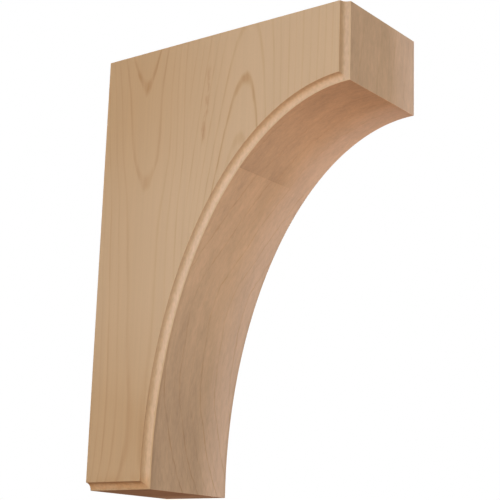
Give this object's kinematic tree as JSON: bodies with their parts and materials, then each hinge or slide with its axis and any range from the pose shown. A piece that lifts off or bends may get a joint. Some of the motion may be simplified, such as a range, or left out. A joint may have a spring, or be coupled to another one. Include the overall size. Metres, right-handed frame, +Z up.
{
  "type": "wooden corbel bracket",
  "caption": "Wooden corbel bracket with a plain scooped front and a small routed cove along its side edges, to carry a shelf, mantel or worktop.",
  "frame": {"origin": "middle of the flat back face, where the corbel meets the wall", "axes": "+X along the wall, +Y into the wall, so the corbel reaches out towards -Y, +Z up"},
  "size_m": [0.0888, 0.2032, 0.3048],
  "materials": {
    "wood": "sanded smooth and left unfinished: pale, close-grained hardwood with a pink-tan hue"
  },
  "bodies": {
    "root": {"corbel": "wood"}
  },
  "joints": []
}
